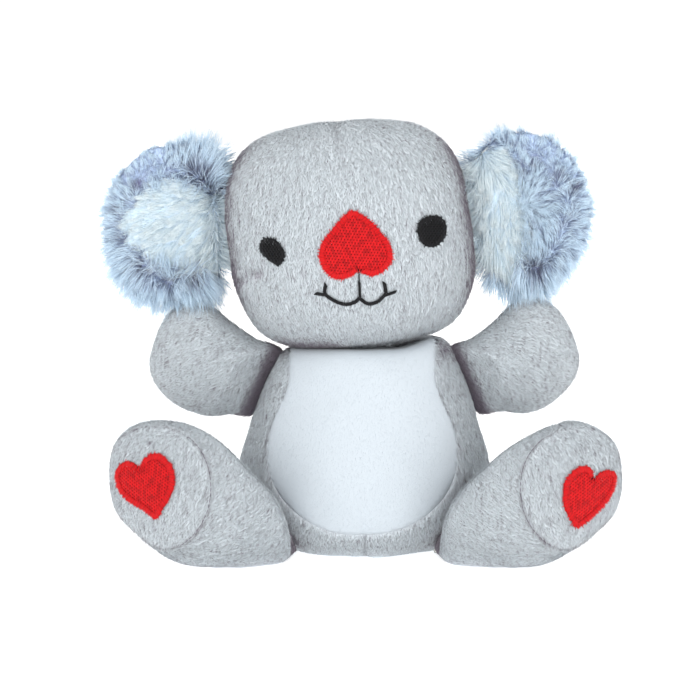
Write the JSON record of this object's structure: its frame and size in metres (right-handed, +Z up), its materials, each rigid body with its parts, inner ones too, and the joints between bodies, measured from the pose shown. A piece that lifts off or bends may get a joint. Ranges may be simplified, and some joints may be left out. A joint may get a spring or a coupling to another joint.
{
  "type": "plush koala",
  "caption": "Seated plush koala with long-fur ears, a pale tummy panel, an embroidered face and soles, and a head, ears and limbs that flex at their sewn seams.",
  "frame": {"origin": "on the ground, under the middle of the toy's bounding box", "axes": "+Z up; the toy faces -Y; +X to the right of someone who looks at its face"},
  "size_m": [0.1718, 0.0922, 0.1499],
  "materials": {
    "grey_plush": "short-pile plush",
    "white_plush": "short-pile plush",
    "ear_fur": "long-pile fur",
    "red_thread": "satin stitch",
    "black_thread": "satin stitch",
    "stuffing_fibre": "loose fibre"
  },
  "bodies": {
    "torso": {"tummy_panel": "white_plush", "torso_left_panel": "grey_plush", "torso_right_panel": "grey_plush", "torso_back_panel": "grey_plush", "torso_stuffing": "stuffing_fibre"},
    "head": {"head_face_panel": "grey_plush", "head_back_left_panel": "grey_plush", "head_back_right_panel": "grey_plush", "head_stuffing": "stuffing_fibre", "nose_embroidery": "red_thread", "eye_left_embroidery": "black_thread", "eye_right_embroidery": "black_thread", "mouth_embroidery": "black_thread"},
    "ear_left": {"ear_left_fur_panel": "ear_fur", "ear_left_inner_panel": "white_plush", "ear_left_wadding": "stuffing_fibre"},
    "ear_right": {"ear_right_fur_panel": "ear_fur", "ear_right_inner_panel": "white_plush", "ear_right_wadding": "stuffing_fibre"},
    "arm_left": {"arm_left_front_panel": "grey_plush", "arm_left_back_panel": "grey_plush", "arm_left_stuffing": "stuffing_fibre"},
    "arm_right": {"arm_right_front_panel": "grey_plush", "arm_right_back_panel": "grey_plush", "arm_right_stuffing": "stuffing_fibre"},
    "leg_left": {"leg_left_inner_panel": "grey_plush", "leg_left_outer_panel": "grey_plush", "foot_left_sole": "grey_plush", "leg_left_stuffing": "stuffing_fibre", "foot_left_heart_embroidery": "red_thread"},
    "leg_right": {"leg_right_inner_panel": "grey_plush", "leg_right_outer_panel": "grey_plush", "foot_right_sole": "grey_plush", "leg_right_stuffing": "stuffing_fibre", "foot_right_heart_embroidery": "red_thread"}
  },
  "joints": [
    {"name": "neck_turn", "type": "hinge", "parent": "torso", "child": "head", "pos_m": [0.00097, 0.01211, 0.072], "axis": [0, 0, 1], "range_deg": [-20, 20], "stiffness_Nm_per_rad": 0.05},
    {"name": "ear_left_fold", "type": "hinge", "parent": "head", "child": "ear_left", "pos_m": [-0.04918, 0.01011, 0.11563], "axis": [-0.049, 0, 0.9988], "range_deg": [-25, 25], "stiffness_Nm_per_rad": 0.008},
    {"name": "ear_right_fold", "type": "hinge", "parent": "head", "child": "ear_right", "pos_m": [0.03936, 0.01011, 0.1175], "axis": [0.1154, 0, -0.9933], "range_deg": [-25, 25], "stiffness_Nm_per_rad": 0.008},
    {"name": "shoulder_left_flap", "type": "hinge", "parent": "torso", "child": "arm_left", "pos_m": [-0.03595, 0.01211, 0.06136], "axis": [0.4116, 0.0003, 0.9114], "range_deg": [-25, 25], "stiffness_Nm_per_rad": 0.02},
    {"name": "shoulder_right_flap", "type": "hinge", "parent": "torso", "child": "arm_right", "pos_m": [0.0379, 0.01211, 0.06136], "axis": [0.4116, -0.0003, -0.9114], "range_deg": [-25, 25], "stiffness_Nm_per_rad": 0.02},
    {"name": "hip_left_swing", "type": "hinge", "parent": "torso", "child": "leg_left", "pos_m": [-0.03237, -0.00905, 0.01324], "axis": [-0.4774, -0.0854, 0.8745], "range_deg": [-20, 20], "stiffness_Nm_per_rad": 0.06},
    {"name": "hip_right_swing", "type": "hinge", "parent": "torso", "child": "leg_right", "pos_m": [0.03432, -0.00905, 0.01324], "axis": [-0.4774, 0.0854, -0.8745], "range_deg": [-20, 20], "stiffness_Nm_per_rad": 0.06}
  ]
}
